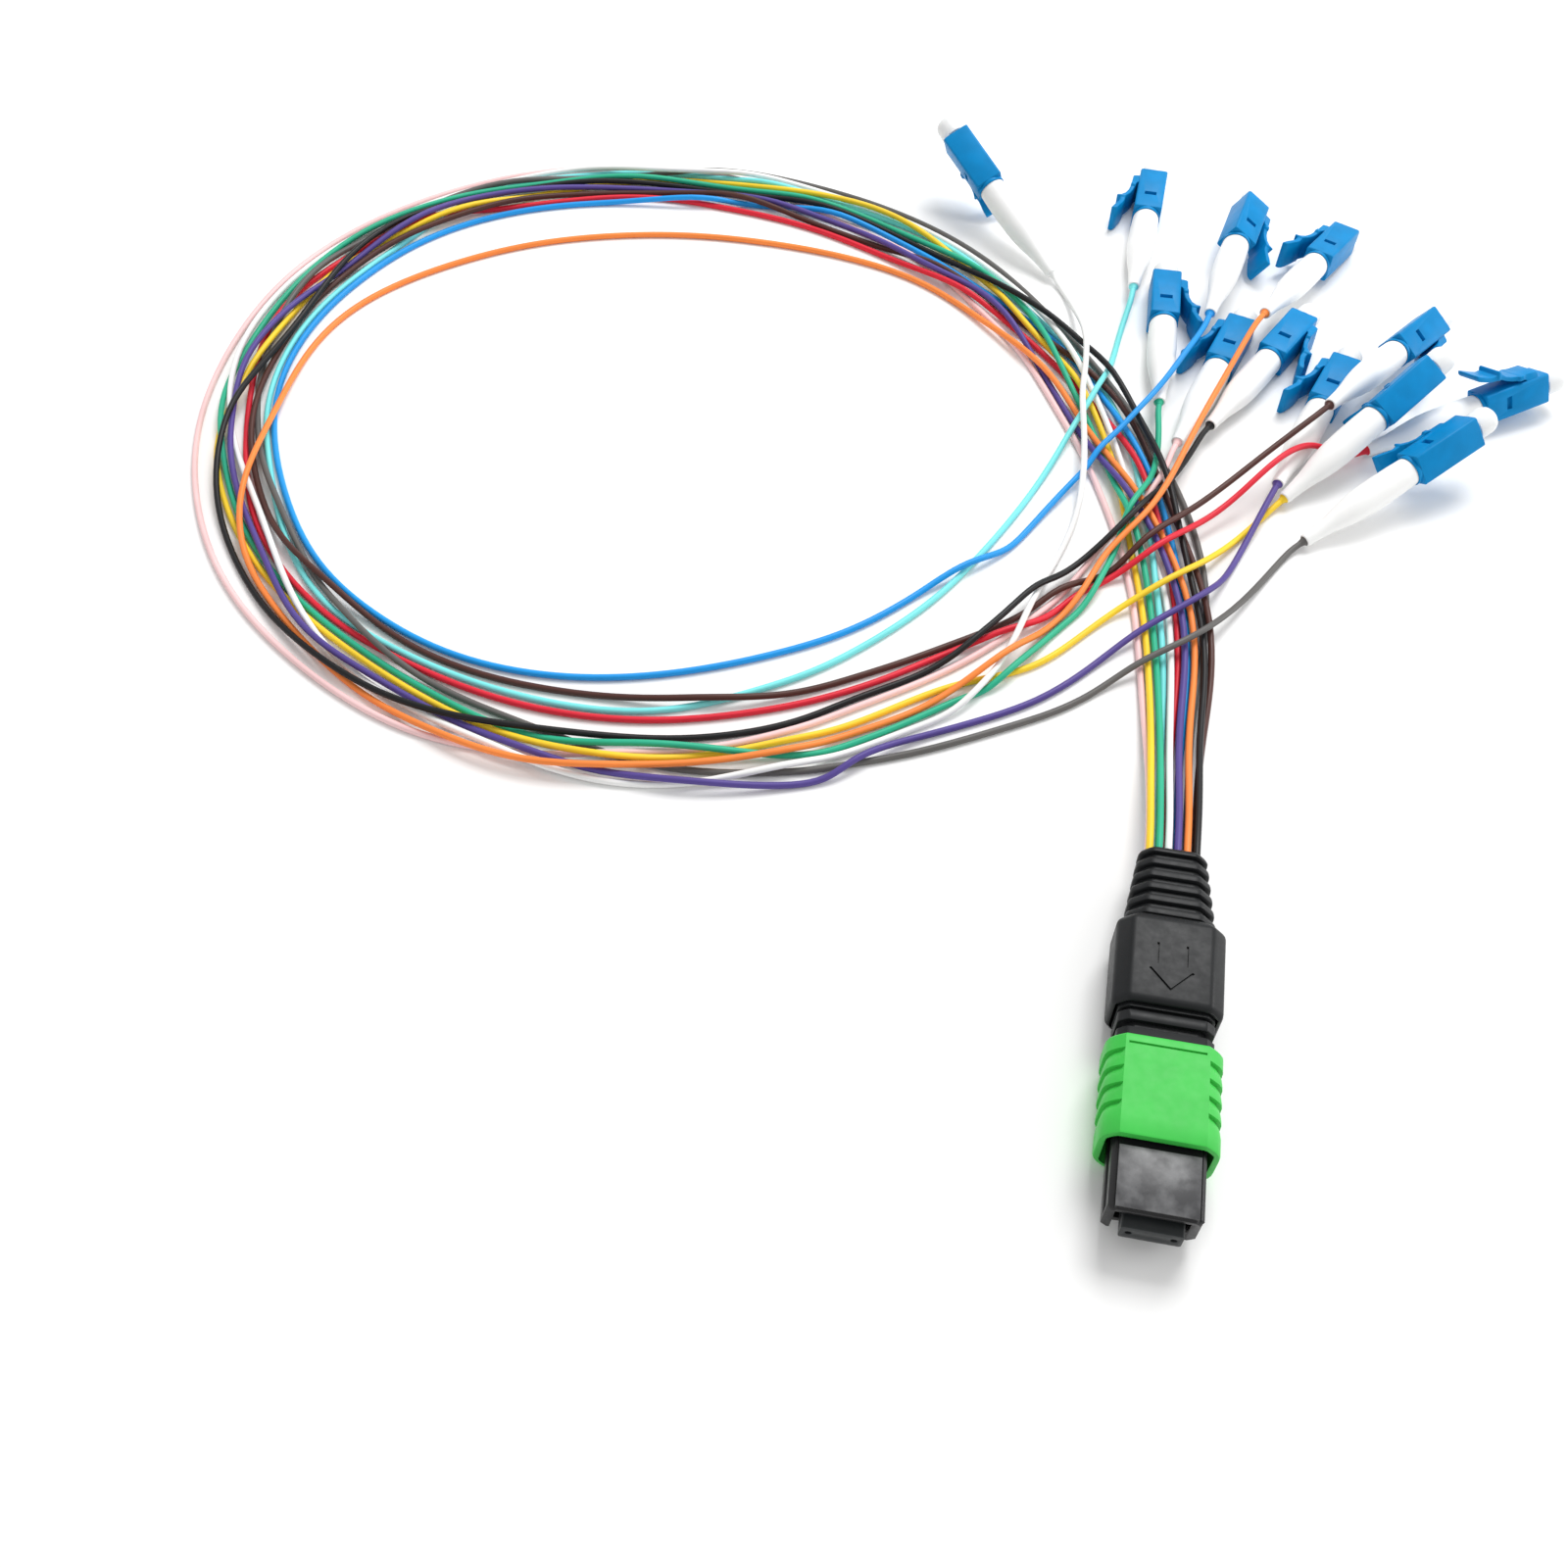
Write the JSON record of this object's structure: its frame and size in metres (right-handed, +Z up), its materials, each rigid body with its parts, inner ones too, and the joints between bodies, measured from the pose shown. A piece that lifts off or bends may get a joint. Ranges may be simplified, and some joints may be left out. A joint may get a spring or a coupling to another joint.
{
  "type": "fibre breakout cable",
  "caption": "Fibre breakout cable: a ribbed multi-fibre plug with a sliding green grip, and thin coloured strands laid in a loop that end in blue single-fibre connectors with white boots.",
  "frame": {"origin": "on the table under the middle of the box round the plug and the connectors, without the strands", "axes": "+Z up from the table, +Y along the longest extent of the plug and connectors, away from the trunk plug towards the single-fibre connectors, +X to the right of that"},
  "size_m": [0.2039, 0.1946, 0.013],
  "materials": {
    "connector_blue": "semi-gloss",
    "boot_white": "soft satin",
    "cap_clear": "translucent",
    "sleeve_green": "satin",
    "plug_black": "fine matt",
    "ferrule_grey": "polished face",
    "strand_blue": "satin",
    "strand_orange": "satin",
    "strand_green": "satin",
    "strand_brown": "satin",
    "strand_slate": "satin",
    "strand_white": "satin",
    "strand_red": "satin",
    "strand_black": "satin",
    "strand_yellow": "satin",
    "strand_violet": "satin",
    "strand_rose": "satin",
    "strand_aqua": "satin"
  },
  "bodies": {
    "cable": {"mpo_boot": "plug_black", "mpo_rear_body": "plug_black", "mpo_housing": "plug_black", "mt_ferrule": "ferrule_grey", "lc_housing_blue": "connector_blue", "lc_boot_blue": "boot_white", "lc_dust_cap_blue": "cap_clear", "strand_blue": "strand_blue", "lc_housing_orange": "connector_blue", "lc_boot_orange": "boot_white", "lc_dust_cap_orange": "cap_clear", "strand_orange": "strand_orange", "lc_housing_green": "connector_blue", "lc_boot_green": "boot_white", "lc_dust_cap_green": "cap_clear", "strand_green": "strand_green", "lc_housing_brown": "connector_blue", "lc_boot_brown": "boot_white", "lc_dust_cap_brown": "cap_clear", "strand_brown": "strand_brown", "lc_housing_slate": "connector_blue", "lc_boot_slate": "boot_white", "lc_dust_cap_slate": "cap_clear", "strand_slate": "strand_slate", "lc_housing_white": "connector_blue", "lc_boot_white": "boot_white", "lc_dust_cap_white": "cap_clear", "strand_white": "strand_white", "lc_housing_red": "connector_blue", "lc_boot_red": "boot_white", "lc_dust_cap_red": "cap_clear", "strand_red": "strand_red", "lc_housing_black": "connector_blue", "lc_boot_black": "boot_white", "lc_dust_cap_black": "cap_clear", "strand_black": "strand_black", "lc_housing_yellow": "connector_blue", "lc_boot_yellow": "boot_white", "lc_dust_cap_yellow": "cap_clear", "strand_yellow": "strand_yellow", "lc_housing_violet": "connector_blue", "lc_boot_violet": "boot_white", "lc_dust_cap_violet": "cap_clear", "strand_violet": "strand_violet", "lc_housing_rose": "connector_blue", "lc_boot_rose": "boot_white", "lc_dust_cap_rose": "cap_clear", "strand_rose": "strand_rose", "lc_housing_aqua": "connector_blue", "lc_boot_aqua": "boot_white", "lc_dust_cap_aqua": "cap_clear", "strand_aqua": "strand_aqua"},
    "sleeve": {"mpo_sleeve": "sleeve_green"}
  },
  "joints": [
    {"name": "mpo_sleeve_slide", "type": "slide", "parent": "cable", "child": "sleeve", "axis": [0.1891, 0.982, 0], "range_m": [0, 0.0025], "stiffness_N_per_m": 300}
  ]
}
